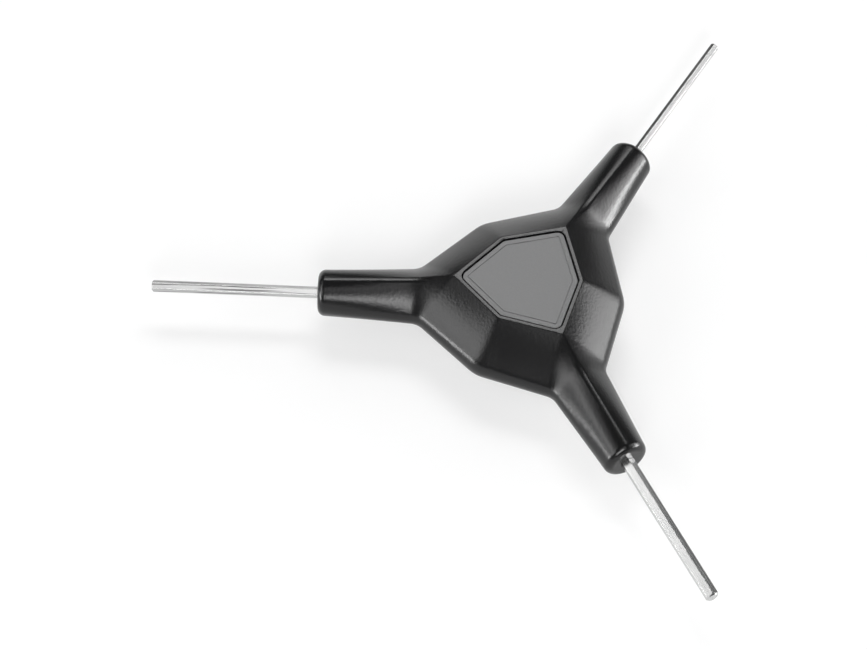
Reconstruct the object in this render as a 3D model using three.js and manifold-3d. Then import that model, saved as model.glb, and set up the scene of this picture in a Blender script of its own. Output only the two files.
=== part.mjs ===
// A three-way hex wrench shaped like a Y. A moulded handle lies flat in the hand, and each of its
// three arms holds a straight hexagonal steel bar of another size. A plain hexagonal plate fills a
// recess in the front of the hub, and a stiff inner core holds the bars inside the handle.
// Millimetres. The tool lies on its back, the front looks up +Z, and the origin is the middle of
// the hub on the back face.

import * as THREE from 'three';
import { mergeVertices } from 'three/addons/utils/BufferGeometryUtils.js';
import Module from 'manifold-3d';

const wasm = await Module();
wasm.setup();

// Arms: how many there are, and the way the first one points, as an angle round +Z.
const armCount = 3;
const firstArmAngle = Math.PI;

// Handle, seen from the front. Reaches are measured from the middle of the hub.
const landArmCornerReach = 17.8;
const landMidCornerReach = 13.4;
const hubCornerReach = 24.15;
const rootReach = 26.7;
const rootHalfWidth = 7.4;
const armReach = 51.3;
const armEndHalfWidth = 5.7;

// Handle, seen from the side. Heights are measured from the plane that the bars lie in.
const handleThickness = 20.8;
const ridgeRootHeight = 7.65;
const armEndHalfHeight = 6.1;

// The handle's section is nearly flat on the hub and nearly round at the arm's end. These are the
// radii of its ridge, its flank and its outer edge at four places on the way.
const ridgeRadiusLand = 0.6;
const ridgeRadiusRoot = 1.8;
const ridgeRadiusEnd = 2.6;
const flankRadiusHubCorner = 80;
const flankRadiusLandCorner = 35;
const flankRadiusRoot = 27;
const flankRadiusEnd = 6.3;
const edgeRadiusHubCorner = 4.7;
const edgeRadiusLandCorner = 4.2;
const edgeRadiusRoot = 3.8;
const edgeRadiusEnd = 4.8;

// Roundings along the handle, where its lines bend.
const landCornerRadius = 0.8;
const hubCornerRadius = 2.5;
const rootFilletRadius = 4.5;
const ridgeBendRadius = 20;
const lipRadius = 1.85;

// Front plate in its recess, with a fine line cut along its edge.
const rimWidth = 0.55;
const plateGap = 0.35;
const plateThickness = 1.5;
const plateBed = 0.3;
const plateEdgeBevel = 0.12;
const plateArmCornerRadius = 1.1;
const plateMidCornerRadius = 0.3;
const borderInset = 1.7;
const borderWidth = 0.22;
const borderDepth = 0.15;

// Inner core: a disc with three round arms, locked in the handle by grooves and a middle hole.
const gripWall = 1.6;
const gripEndWall = 5.2;
const coreClearance = 0.3;
const coreHubRadius = 12;
const coreHubThickness = 9;
const coreHoleRadius = 3.4;
const coreArmChamfer = 0.8;
const coreGrooveDepth = 0.6;
const coreGrooveWidth = 2.6;
const coreGrooveCount = 2;

// Hexagonal bars. Each one has its inner end in the core, held by a pair of notches.
const smallKeyFlats = 2;
const middleKeyFlats = 2.5;
const largeKeyFlats = 3;
const keyReach = 92.3;
const keyRootReach = 9.5;
const keyTipChamferShare = 0.16;
const keyNotchDepth = 0.4;
const keyNotchWidth = 2.4;
const keyNotchReach = 15;
const keyClearance = 0.15;

// Making sizes: how far a cut runs past the piece, and how near two points count as one.
const overrun = 1;
const weldTolerance = 0.0001;

// Where the rows of the handle's surface lie, as shares of each stretch of its rails.
const landRowShares = [0, 0.025, 0.055, 0.2, 0.4, 0.6, 0.8, 1];
const slopeRowShares = [0.2, 0.4, 0.6, 0.8, 1];
const armRowShares = [0.05, 0.1, 0.25, 0.4, 0.6, 0.8, 1];
const lipRowCount = 5;

// How many steps the handle's section takes over its ridge, its flank and its outer edge.
const ridgeSteps = 3;
const flankSteps = 3;
const edgeSteps = 5;
const roundSegments = 20;
const tipSegments = 24;

// Places and angles worked out from the sizes above.
const halfThickness = handleThickness / 2;
const sectorAngle = (2 * Math.PI) / armCount;
const sectorHalfAngle = sectorAngle / 2;
const recessDepth = plateThickness + plateBed;
const coreArmRadius = armEndHalfWidth - gripWall - coreClearance;
const coreArmReach = armReach - gripEndWall;

const handlePlastic = new THREE.MeshStandardMaterial({ color: '#242526', roughness: 0.5, metalness: 0 });
const platePlastic = new THREE.MeshStandardMaterial({ color: '#7f8081', roughness: 0.4, metalness: 0 });
const coreNylon = new THREE.MeshStandardMaterial({ color: '#3b3c3a', roughness: 0.7, metalness: 0 });
const bareSteel = new THREE.MeshStandardMaterial({ color: '#c9cbcd', roughness: 0.3, metalness: 1 });

// Solids: a closed geometry becomes a solid that can be cut and joined, and comes back as a mesh.
function toSolid(geometry, placement = new THREE.Matrix4()) {
  const bare = geometry.clone().applyMatrix4(placement);
  bare.deleteAttribute('normal');
  bare.deleteAttribute('uv');
  const welded = mergeVertices(bare, weldTolerance);
  return new wasm.Manifold(new wasm.Mesh({
    numProp: 3,
    vertProperties: welded.attributes.position.array,
    triVerts: new Uint32Array(welded.index.array)
  }));
}

function toMesh(solid, name, material) {
  const { vertProperties, triVerts } = solid.getMesh();
  const geometry = new THREE.BufferGeometry();
  geometry.setAttribute('position', new THREE.BufferAttribute(vertProperties, 3));
  geometry.setIndex(new THREE.BufferAttribute(triVerts, 1));
  geometry.computeVertexNormals();
  const mesh = new THREE.Mesh(geometry, material);
  mesh.name = name;
  return mesh;
}

function armAngle(arm) {
  return firstArmAngle + arm * sectorAngle;
}

// Rails: the lines that the handle's surface is drawn along, for an arm that runs along +X.
function pointAt(reach, angle, height) {
  return new THREE.Vector3(reach * Math.cos(angle), reach * Math.sin(angle), height);
}

function towards(from, to, distance) {
  const direction = to.clone().sub(from).normalize();
  return from.clone().addScaledVector(direction, distance);
}

function filletSetback(before, corner, after, radius) {
  const turn = corner.clone().sub(before).angleTo(after.clone().sub(corner));
  return radius * Math.tan(turn / 2);
}

// The first point is a corner on the line between two arms, so the rail starts half way round it.
function roundedRail(points, radii) {
  const rail = new THREE.CurvePath();
  const [corner, next] = points;
  const sectorEdgeNormal = pointAt(1, sectorHalfAngle + Math.PI / 2, 0);
  const mirroredNext = next.clone().reflect(sectorEdgeNormal);
  const firstOut = towards(corner, next, filletSetback(mirroredNext, corner, next, radii[0]));
  const firstIn = firstOut.clone().reflect(sectorEdgeNormal);
  const start = firstIn.add(firstOut).multiplyScalar(0.5).lerp(corner, 0.5);
  rail.add(new THREE.QuadraticBezierCurve3(start, corner.clone().lerp(firstOut, 0.5), firstOut));

  let from = firstOut;
  for (let index = 1; index < points.length - 1; index += 1) {
    const [before, bend, after] = points.slice(index - 1, index + 2);
    const setback = filletSetback(before, bend, after, radii[index]);
    const into = towards(bend, before, setback);
    const out = towards(bend, after, setback);
    rail.add(new THREE.LineCurve3(from, into));
    if (radii[index] > 0) {
      rail.add(new THREE.QuadraticBezierCurve3(into, bend, out));
    }
    from = out;
  }
  rail.add(new THREE.LineCurve3(from, points.at(-1)));
  return rail;
}

function railPoint(rail, length) {
  return rail.getPoint(Math.min(1, length / rail.getLength()));
}

// One quarter of the handle's section, as three arcs that run on into each other: the ridge, the
// flank and the outer edge. The flank is the widest arc and both of the others lie inside its
// circle, so its centre is as far from each of their centres as the radii differ. Points are given
// as the way out from the ridge and the height over the middle plane.
function sectionPoints(width, height, ridgeRadius, flankRadius, edgeRadius) {
  const ridgeCentre = new THREE.Vector2(0, height - ridgeRadius);
  const edgeCentre = new THREE.Vector2(width - edgeRadius, 0);
  const span = edgeCentre.clone().sub(ridgeCentre);
  const fromRidge = flankRadius - ridgeRadius;
  const fromEdge = flankRadius - edgeRadius;
  const along = (fromRidge ** 2 - fromEdge ** 2 + span.lengthSq()) / (2 * span.length());
  const across = Math.sqrt(Math.max(0, fromRidge ** 2 - along ** 2));
  const direction = span.normalize();
  const inward = new THREE.Vector2(direction.y, -direction.x);
  const flankCentre = ridgeCentre.clone().addScaledVector(direction, along).addScaledVector(inward, across);
  const leanTowards = (centre) => Math.atan2(centre.x - flankCentre.x, centre.y - flankCentre.y);
  const ridgeLean = leanTowards(ridgeCentre);
  const edgeLean = leanTowards(edgeCentre);
  const arcs = [
    { centre: ridgeCentre, radius: ridgeRadius, from: 0, to: ridgeLean, steps: ridgeSteps },
    { centre: flankCentre, radius: flankRadius, from: ridgeLean, to: edgeLean, steps: flankSteps },
    { centre: edgeCentre, radius: edgeRadius, from: edgeLean, to: Math.PI / 2, steps: edgeSteps }
  ];

  const points = [];
  for (const { centre, radius, from, to, steps } of arcs) {
    for (let step = 0; step < steps; step += 1) {
      const lean = THREE.MathUtils.lerp(from, to, step / steps);
      points.push([centre.x + radius * Math.sin(lean), centre.y + radius * Math.cos(lean)]);
    }
  }
  points.push([width, 0]);
  return points;
}

// The three radii part of the way between two places. The flank's bend, which is one over its
// radius, is what changes evenly.
function blendedRadii(from, to, share) {
  return {
    ridge: THREE.MathUtils.lerp(from.ridge, to.ridge, share),
    flank: 1 / THREE.MathUtils.lerp(1 / from.flank, 1 / to.flank, share),
    edge: THREE.MathUtils.lerp(from.edge, to.edge, share)
  };
}

// Rows of points over one half of a sector, from the line between two arms to the arm's end.
function sectorRows() {
  const lipStart = armReach - lipRadius;
  const crest = roundedRail(
    [
      pointAt(landMidCornerReach, sectorHalfAngle, halfThickness),
      new THREE.Vector3(landArmCornerReach, 0, halfThickness),
      new THREE.Vector3(rootReach, 0, ridgeRootHeight),
      new THREE.Vector3(lipStart, 0, armEndHalfHeight)
    ],
    [landCornerRadius, 0, ridgeBendRadius]
  );
  const edge = roundedRail(
    [
      pointAt(hubCornerReach, sectorHalfAngle, 0),
      new THREE.Vector3(rootReach, rootHalfWidth, 0),
      new THREE.Vector3(lipStart, armEndHalfWidth, 0)
    ],
    [hubCornerRadius, rootFilletRadius]
  );

  const atHubCorner = { ridge: ridgeRadiusLand, flank: flankRadiusHubCorner, edge: edgeRadiusHubCorner };
  const atLandCorner = { ridge: ridgeRadiusLand, flank: flankRadiusLandCorner, edge: edgeRadiusLandCorner };
  const atRoot = { ridge: ridgeRadiusRoot, flank: flankRadiusRoot, edge: edgeRadiusRoot };
  const atEnd = { ridge: ridgeRadiusEnd, flank: flankRadiusEnd, edge: edgeRadiusEnd };

  // The facet of the hub ends where the crest leaves the land and the edge enters the root's
  // fillet. The slope runs from there to the middle of the ridge's bend and the fillet's far end.
  const [, crestAtLand, crestBeforeBend, crestAfterBend, crestEnd] = crest.getCurveLengths();
  const [, edgeBeforeRoot, edgeAfterRoot, edgeEnd] = edge.getCurveLengths();
  const crestAtBend = (crestBeforeBend + crestAfterBend) / 2;
  const stretches = [
    {
      shares: landRowShares,
      crest: [0, crestAtLand],
      edge: [0, edgeBeforeRoot],
      radii: [atHubCorner, atLandCorner]
    },
    {
      shares: slopeRowShares,
      crest: [crestAtLand, crestAtBend],
      edge: [edgeBeforeRoot, edgeAfterRoot],
      radii: [atLandCorner, atRoot]
    },
    {
      shares: armRowShares,
      crest: [crestAtBend, crestEnd],
      edge: [edgeAfterRoot, edgeEnd],
      radii: [atRoot, atEnd]
    }
  ];

  const rows = [];
  for (const stretch of stretches) {
    for (const share of stretch.shares) {
      const top = railPoint(crest, THREE.MathUtils.lerp(...stretch.crest, share));
      const out = railPoint(edge, THREE.MathUtils.lerp(...stretch.edge, share)).sub(top).setZ(0);
      const width = out.length();
      out.normalize();
      const radii = blendedRadii(...stretch.radii, share);
      const section = sectionPoints(width, top.z, radii.ridge, radii.flank, radii.edge);
      rows.push(section.map(([away, height]) => top.clone().addScaledVector(out, away).setZ(height)));
    }
  }

  // Over the lip the last section draws in by the same amount all round.
  for (let step = 1; step <= lipRowCount; step += 1) {
    const angle = ((Math.PI / 2) * step) / lipRowCount;
    const inset = lipRadius * (1 - Math.cos(angle));
    const reach = lipStart + lipRadius * Math.sin(angle);
    const section = sectionPoints(
      armEndHalfWidth - inset,
      armEndHalfHeight - inset,
      atEnd.ridge - inset,
      atEnd.flank - inset,
      atEnd.edge - inset
    );
    rows.push(section.map(([away, height]) => new THREE.Vector3(reach, away, height)));
  }
  return rows;
}

// Triangles over one half sector, with the flat land over the hub and the flat end of the arm.
function sectorTriangles() {
  const rows = sectorRows();
  const triangles = [];
  for (let row = 0; row < rows.length - 1; row += 1) {
    for (let column = 0; column < rows[row].length - 1; column += 1) {
      const near = rows[row];
      const far = rows[row + 1];
      triangles.push([near[column], near[column + 1], far[column + 1]]);
      triangles.push([near[column], far[column + 1], far[column]]);
    }
  }
  const landMiddle = new THREE.Vector3(0, 0, halfThickness);
  for (let row = 0; row < landRowShares.length - 1; row += 1) {
    triangles.push([landMiddle, rows[row][0], rows[row + 1][0]]);
  }
  const endMiddle = new THREE.Vector3(armReach, 0, 0);
  const endRow = rows.at(-1);
  for (let column = 0; column < endRow.length - 1; column += 1) {
    triangles.push([endRow[column], endRow[column + 1], endMiddle]);
  }
  return triangles;
}

// The whole handle is the half sector mirrored across the arm and across the middle plane, and
// repeated for each arm. A mirror turns the triangles round, so they are turned back.
function handleGeometry() {
  const triangles = sectorTriangles();
  const positions = [];
  for (let arm = 0; arm < armCount; arm += 1) {
    for (const side of [1, -1]) {
      for (const face of [1, -1]) {
        const placement = new THREE.Matrix4().makeRotationZ(armAngle(arm));
        placement.multiply(new THREE.Matrix4().makeScale(1, side, face));
        for (const triangle of triangles) {
          const corners = triangle.map((corner) => corner.clone().applyMatrix4(placement));
          if (side * face > 0) {
            corners.reverse();
          }
          for (const corner of corners) {
            positions.push(corner.x, corner.y, corner.z);
          }
        }
      }
    }
  }
  const geometry = new THREE.BufferGeometry();
  geometry.setAttribute('position', new THREE.Float32BufferAttribute(positions, 3));
  return geometry;
}

// The land's outline, moved inwards by an inset, with its two kinds of corner rounded.
function landShape(inset, armCornerRadius, midCornerRadius) {
  const edgeNormalAngle = Math.atan2(
    landArmCornerReach - landMidCornerReach * Math.cos(sectorHalfAngle),
    landMidCornerReach * Math.sin(sectorHalfAngle)
  );
  const armCorner = landArmCornerReach - inset / Math.cos(edgeNormalAngle);
  const midCorner = landMidCornerReach - inset / Math.cos(sectorHalfAngle - edgeNormalAngle);
  const corners = [];
  for (let arm = 0; arm < armCount; arm += 1) {
    corners.push({ at: pointAt(armCorner, armAngle(arm), 0), radius: armCornerRadius });
    corners.push({ at: pointAt(midCorner, armAngle(arm) + sectorHalfAngle, 0), radius: midCornerRadius });
  }
  const shape = new THREE.Shape();
  corners.forEach((corner, index) => {
    const before = corners.at(index - 1).at;
    const after = corners[(index + 1) % corners.length].at;
    const setback = filletSetback(before, corner.at, after, corner.radius);
    const into = towards(corner.at, before, setback);
    const out = towards(corner.at, after, setback);
    if (index === 0) {
      shape.moveTo(into.x, into.y);
    } else {
      shape.lineTo(into.x, into.y);
    }
    shape.quadraticCurveTo(corner.at.x, corner.at.y, out.x, out.y);
  });
  shape.closePath();
  return shape;
}

function extruded(shape, from, to) {
  const geometry = new THREE.ExtrudeGeometry(shape, {
    depth: to - from,
    bevelEnabled: false,
    curveSegments: 4
  });
  return geometry.translate(0, 0, from);
}

// Bars. Each lies along +X with a corner up, so that two of its flats stand upright.
function hexShape(acrossFlats) {
  const cornerReach = acrossFlats / Math.sqrt(3);
  const shape = new THREE.Shape();
  for (let corner = 0; corner < 6; corner += 1) {
    const angle = (corner * Math.PI) / 3;
    const x = cornerReach * Math.cos(angle);
    const y = cornerReach * Math.sin(angle);
    if (corner === 0) {
      shape.moveTo(x, y);
    } else {
      shape.lineTo(x, y);
    }
  }
  shape.closePath();
  return shape;
}

function alongArm(angle) {
  const turn = new THREE.Matrix4().makeRotationZ(angle);
  return turn.multiply(new THREE.Matrix4().makeRotationY(Math.PI / 2));
}

// A bar with a turned, conical tip and a notch in each upright flat. Grown all round by a
// clearance, the same form is the socket that holds it: wider and longer, with smaller notches.
function keySolid(acrossFlats, growth) {
  const start = keyRootReach - growth;
  const end = keyReach + growth;
  const cornerReach = acrossFlats / Math.sqrt(3) + growth;
  const tipRadius = cornerReach - keyTipChamferShare * acrossFlats;
  const blankRadius = cornerReach + overrun;
  const turned = new THREE.LatheGeometry(
    [
      new THREE.Vector2(0, start - overrun),
      new THREE.Vector2(blankRadius, start - overrun),
      new THREE.Vector2(blankRadius, end - (blankRadius - tipRadius)),
      new THREE.Vector2(tipRadius, end),
      new THREE.Vector2(0, end)
    ],
    tipSegments
  );
  turned.rotateX(Math.PI / 2);
  const bar = extruded(hexShape(acrossFlats + 2 * growth), start, end + overrun);
  let solid = toSolid(bar).intersect(toSolid(turned));
  const notchFloor = acrossFlats / 2 - keyNotchDepth + growth;
  const notch = new THREE.BoxGeometry(2 * acrossFlats, acrossFlats, keyNotchWidth - 2 * growth);
  for (const side of [1, -1]) {
    const place = new THREE.Matrix4().makeTranslation(
      0,
      side * (notchFloor + acrossFlats / 2),
      keyNotchReach
    );
    solid = solid.subtract(toSolid(notch, place));
  }
  return solid;
}

// Core. Grown by a clearance, the same form is the hollow in the handle that it fills.
function coreArmGeometry(growth) {
  const radius = coreArmRadius + growth;
  const grooveFloor = coreArmRadius - coreGrooveDepth + growth;
  const end = coreArmReach + growth;
  const profile = [new THREE.Vector2(0, 0), new THREE.Vector2(radius, 0)];
  const grooveRun = coreArmReach - coreHubRadius;
  for (let groove = 1; groove <= coreGrooveCount; groove += 1) {
    const middle = coreHubRadius + (grooveRun * groove) / (coreGrooveCount + 1);
    const half = coreGrooveWidth / 2 - growth;
    profile.push(new THREE.Vector2(radius, middle - half - coreGrooveDepth));
    profile.push(new THREE.Vector2(grooveFloor, middle - half));
    profile.push(new THREE.Vector2(grooveFloor, middle + half));
    profile.push(new THREE.Vector2(radius, middle + half + coreGrooveDepth));
  }
  profile.push(new THREE.Vector2(radius, end - coreArmChamfer));
  profile.push(new THREE.Vector2(radius - coreArmChamfer, end));
  profile.push(new THREE.Vector2(0, end));
  return new THREE.LatheGeometry(profile, roundSegments);
}

function coreSolid(growth) {
  const discRadius = coreHubRadius + growth;
  const discThickness = coreHubThickness + 2 * growth;
  const disc = new THREE.CylinderGeometry(discRadius, discRadius, discThickness, 2 * roundSegments);
  const upright = new THREE.Matrix4().makeRotationX(Math.PI / 2);
  let solid = toSolid(disc, upright);
  for (let arm = 0; arm < armCount; arm += 1) {
    const turn = new THREE.Matrix4().makeRotationZ(armAngle(arm));
    turn.multiply(new THREE.Matrix4().makeRotationZ(-Math.PI / 2));
    solid = solid.add(toSolid(coreArmGeometry(growth), turn));
  }
  const holeRadius = coreHoleRadius - growth;
  const holeDepth = discThickness + 2 * overrun;
  const hole = new THREE.CylinderGeometry(holeRadius, holeRadius, holeDepth, roundSegments);
  return solid.subtract(toSolid(hole, upright));
}

const keys = [
  { name: 'hex_key_2_5mm', acrossFlats: middleKeyFlats, arm: 0 },
  { name: 'hex_key_3mm', acrossFlats: largeKeyFlats, arm: 1 },
  { name: 'hex_key_2mm', acrossFlats: smallKeyFlats, arm: 2 }
];

function gripMesh() {
  const recess = extruded(
    landShape(rimWidth, plateArmCornerRadius + plateGap, plateMidCornerRadius + plateGap),
    halfThickness - recessDepth,
    halfThickness + overrun
  );
  let solid = toSolid(handleGeometry()).subtract(toSolid(recess)).subtract(coreSolid(coreClearance));
  for (const key of keys) {
    const bore = extruded(
      hexShape(key.acrossFlats + 2 * keyClearance),
      coreArmReach - overrun,
      armReach + overrun
    );
    solid = solid.subtract(toSolid(bore, alongArm(armAngle(key.arm))));
  }
  return toMesh(solid, 'grip', handlePlastic);
}

function coreMesh() {
  let solid = coreSolid(0);
  for (const key of keys) {
    const socket = keySolid(key.acrossFlats, keyClearance);
    solid = solid.subtract(socket.transform(alongArm(armAngle(key.arm)).elements));
  }
  return toMesh(solid, 'inner_core', coreNylon);
}

function plateMesh() {
  const plateInset = rimWidth + plateGap;
  const top = halfThickness;
  const outline = landShape(plateInset, plateArmCornerRadius, plateMidCornerRadius);
  const blank = new THREE.ExtrudeGeometry(outline, {
    depth: plateThickness - 2 * plateEdgeBevel,
    bevelEnabled: true,
    bevelThickness: plateEdgeBevel,
    bevelSize: plateEdgeBevel,
    bevelOffset: -plateEdgeBevel,
    bevelSegments: 1,
    curveSegments: 4
  });
  blank.translate(0, 0, top - plateThickness + plateEdgeBevel);
  const lineInset = plateInset + borderInset;
  const cornerRadius = plateMidCornerRadius;
  const lineOuter = landShape(lineInset, cornerRadius, cornerRadius);
  const lineInner = landShape(lineInset + borderWidth, cornerRadius, cornerRadius);
  const floor = top - borderDepth;
  const line = toSolid(extruded(lineOuter, floor, top + overrun))
    .subtract(toSolid(extruded(lineInner, floor - overrun, top + 2 * overrun)));
  return toMesh(toSolid(blank).subtract(line), 'front_plate', platePlastic);
}

function keyMesh(key) {
  const mesh = toMesh(keySolid(key.acrossFlats, 0), key.name, bareSteel);
  mesh.rotation.set(0, Math.PI / 2, armAngle(key.arm), 'ZYX');
  return mesh;
}

const wrench = new THREE.Group();
wrench.position.z = halfThickness;
wrench.add(gripMesh(), coreMesh(), plateMesh());
for (const key of keys) {
  wrench.add(keyMesh(key));
}

export default wrench;
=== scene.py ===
# %% [markdown]
# # A three-way hex wrench, piece by piece
# The tool is a moulded black handle shaped like a Y. A straight hexagonal steel bar comes out of
# each arm, every one of another size, and a plate sits in the front of the hub. This lesson builds
# the visible pieces around a frame that already holds every solid at its real size, so a piece
# only has to take the place of its solid and look right.
# Everything is in metres. The tool lies on its back, and its front looks up along Z.

# %% Load the frame
import math

import bpy
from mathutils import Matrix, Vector


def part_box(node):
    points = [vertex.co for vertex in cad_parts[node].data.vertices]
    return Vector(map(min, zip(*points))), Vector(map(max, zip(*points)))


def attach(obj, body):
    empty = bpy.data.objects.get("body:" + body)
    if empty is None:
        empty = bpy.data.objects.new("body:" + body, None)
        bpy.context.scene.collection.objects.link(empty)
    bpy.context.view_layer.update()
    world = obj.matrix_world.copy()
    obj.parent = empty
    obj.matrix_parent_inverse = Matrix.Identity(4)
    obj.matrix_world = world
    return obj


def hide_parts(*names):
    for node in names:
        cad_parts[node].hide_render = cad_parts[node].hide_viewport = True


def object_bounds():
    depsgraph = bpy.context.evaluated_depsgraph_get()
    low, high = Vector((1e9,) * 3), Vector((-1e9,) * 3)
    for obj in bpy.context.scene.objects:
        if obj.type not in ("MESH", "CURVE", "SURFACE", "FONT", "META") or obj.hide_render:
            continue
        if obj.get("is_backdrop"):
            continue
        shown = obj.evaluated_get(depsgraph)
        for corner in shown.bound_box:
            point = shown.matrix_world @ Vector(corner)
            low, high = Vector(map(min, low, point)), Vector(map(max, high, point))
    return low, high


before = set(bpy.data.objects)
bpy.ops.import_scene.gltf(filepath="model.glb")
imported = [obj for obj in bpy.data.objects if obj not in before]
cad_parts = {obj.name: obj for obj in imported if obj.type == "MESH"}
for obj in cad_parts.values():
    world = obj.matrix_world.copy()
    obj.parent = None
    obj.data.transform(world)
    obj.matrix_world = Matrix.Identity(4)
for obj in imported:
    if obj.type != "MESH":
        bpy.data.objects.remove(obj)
cad_low, cad_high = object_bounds()
print("the frame holds", ", ".join(sorted(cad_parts)))

# %% [markdown]
# ## Sizes that several pieces share
# The frame gives the outer sizes, so they are read from it and not written again: how thick the
# handle is, where the plane of the bars lies, and how far an arm reaches. Each bar has its own
# arm, so the arms' angles are kept by the names of the bars.

# %% Shared sizes
MM = 0.001
WELD = 0.001 * MM
grip_low, grip_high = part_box("grip")
top = grip_high.z
middle = top / 2
arm_reach = -grip_low.x
arm_angles = {"hex_key_2_5mm": 180, "hex_key_3mm": 300, "hex_key_2mm": 60}
print(f"thickness {top / MM:.1f} mm, reach of an arm {arm_reach / MM:.1f} mm")

# %% [markdown]
# ## Working as by hand
# In the viewport a maker clicks one object, enters edit mode and clicks the faces to change. In a
# script the same is done by a test on each face, edge or point, such as how high it lies. These
# two helpers do that, and they make sure that nothing else stays selected, because an operator
# acts on everything that is.

# %% Select by place
SELECT_MODES = {"VERT": (True, False, False), "EDGE": (False, True, False), "FACE": (False, False, True)}


def clear():
    """Leave edit mode and deselect everything."""
    if bpy.context.object and bpy.context.object.mode == "EDIT":
        bpy.ops.object.mode_set(mode="OBJECT")
    bpy.ops.object.select_all(action="DESELECT")


def only(*pieces):
    """Leave edit mode and select these objects alone, with the first one active."""
    clear()
    for piece in pieces:
        piece.select_set(True)
    bpy.context.view_layer.objects.active = pieces[0]


def pick(piece, kind, test):
    """Enter edit mode with just the parts of one kind selected that pass the test."""
    only(piece)
    mesh = piece.data
    groups = {"VERT": mesh.vertices, "EDGE": mesh.edges, "FACE": mesh.polygons}
    for group in groups.values():
        group.foreach_set("select", [False] * len(group))
    found = [part for part in groups[kind] if test(part)]
    for part in found:
        part.select = True
    bpy.context.tool_settings.mesh_select_mode = SELECT_MODES[kind]
    bpy.ops.object.mode_set(mode="EDIT")
    return len(found)


def apply_modifier(piece, kind, **settings):
    """Add a modifier, set it and apply it at once."""
    only(piece)
    bpy.ops.object.modifier_add(type=kind)
    modifier = piece.modifiers[-1]
    for name, value in settings.items():
        setattr(modifier, name, value)
    bpy.ops.object.modifier_apply(modifier=modifier.name)


def place(piece):
    """Move an object's place, turn and scale into its mesh."""
    only(piece)
    bpy.ops.object.transform_apply(location=True, rotation=True, scale=True)


print("helpers ready")

# %% [markdown]
# ## The handle's skin
# The handle is one moulding with flat facets on the hub and a ridge down the middle of each arm.
# The ridge is narrow near the hub and wide at the arm's end, and the outer edge changes too, so a
# bevel, which keeps one width, can't make them. The skin is therefore laid as a sheet over two
# lines, as a boat's planks lie over its frames. One line is the crest: it follows the edge of the
# flat land on the hub and then the ridge. The other is the belt, the outermost line. Only half of
# one arm is drawn, because mirrors and turns give the other eleven parts.

# %% Corners of the two lines, for an arm along +X
HALF_SECTOR = math.radians(60)
LAND_ARM_CORNER = 17.8 * MM
LAND_MID_CORNER = 13.4 * MM
HUB_CORNER = 24.3 * MM
ARM_ROOT = Vector((26.7, 7.4, 7.65)) * MM
ARM_END = Vector((arm_reach / MM, 5.7, 6.1)) * MM
LIP_RADIUS = 1.85 * MM
lip_start = arm_reach - LIP_RADIUS


def toward(angle, reach, height=0):
    """A point at an angle and a reach from the middle of the hub."""
    return Vector((reach * math.cos(angle), reach * math.sin(angle), height))


crest_corners = [
    toward(HALF_SECTOR, LAND_MID_CORNER, middle),
    Vector((LAND_ARM_CORNER, 0, middle)),
    Vector((ARM_ROOT.x, 0, ARM_ROOT.z)),
    Vector((lip_start, 0, ARM_END.z)),
]
belt_corners = [
    toward(HALF_SECTOR, HUB_CORNER),
    Vector((ARM_ROOT.x, ARM_ROOT.y, 0)),
    Vector((lip_start, ARM_END.y, 0)),
]
print(f"{len(crest_corners)} crest corners and {len(belt_corners)} belt corners")

# %% [markdown]
# ### Rounding the lines
# A moulded part has no sharp corner where its surface bends, so each line is rounded where it
# turns. A rounding of radius r starts r times the tangent of half the turn before its corner. The
# first corner lies on the mirror line between two arms, so the line starts half way round it.

# %% Round the corners
LAND_CORNER_RADIUS = 2.5 * MM
HUB_CORNER_RADIUS = 9 * MM
ROOT_FILLET_RADIUS = 4.5 * MM
RIDGE_BEND_RADIUS = 20 * MM
ROUND_STEPS = 16


def setback(before, corner, after, radius):
    """How far from its corner a rounding starts."""
    return radius * math.tan((corner - before).angle(after - corner) / 2)


def rounding(before, corner, after, radius):
    """Points of the curve that takes the place of a corner."""
    cut = setback(before, corner, after, radius)
    into = corner + (before - corner).normalized() * cut
    out = corner + (after - corner).normalized() * cut
    shares = [step / ROUND_STEPS for step in range(ROUND_STEPS + 1)]
    return [into.lerp(corner, share).lerp(corner.lerp(out, share), share) for share in shares]


def first_rounding(corner, after, radius):
    """The outer half of a rounding whose corner lies on the mirror line between two arms."""
    mirror_normal = toward(HALF_SECTOR + math.pi / 2, 1)
    before = after.reflect(mirror_normal)
    return rounding(before, corner, after, radius)[ROUND_STEPS // 2:]


land_corner = first_rounding(crest_corners[0], crest_corners[1], LAND_CORNER_RADIUS)
ridge_bend = rounding(*crest_corners[1:], RIDGE_BEND_RADIUS)
hub_corner = first_rounding(belt_corners[0], belt_corners[1], HUB_CORNER_RADIUS)
root_fillet = rounding(*belt_corners, ROOT_FILLET_RADIUS)
crest = land_corner + [crest_corners[1]] + ridge_bend + [crest_corners[-1]]
belt = hub_corner + root_fillet + [belt_corners[-1]]


def length(line):
    """The length of a line of points."""
    return sum((far - near).length for near, far in zip(line, line[1:]))


def along(line, distance):
    """The point at a distance along a line of points."""
    for near, far in zip(line, line[1:]):
        step = (far - near).length
        if distance <= step:
            return near.lerp(far, distance / step)
        distance -= step
    return line[-1].copy()


print(f"crest {length(crest) / MM:.1f} mm, belt {length(belt) / MM:.1f} mm")

# %% [markdown]
# ### The section between crest and belt
# Cut across, a quarter of the handle is three arcs that run on into each other: a small one over
# the ridge, a wide one down the flank and a middling one round the belt. The small arcs' circles
# lie inside the flank's circle and touch it, so its centre is as far from each of their centres
# as the radii differ. Where one arc touches the next they lean alike, so no edge shows there.

# %% One section
RIDGE_STEPS = 6
FLANK_STEPS = 14
BELT_STEPS = 10


def blend(start, end, share):
    """A number part of the way from start to end."""
    return start + (end - start) * share


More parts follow.
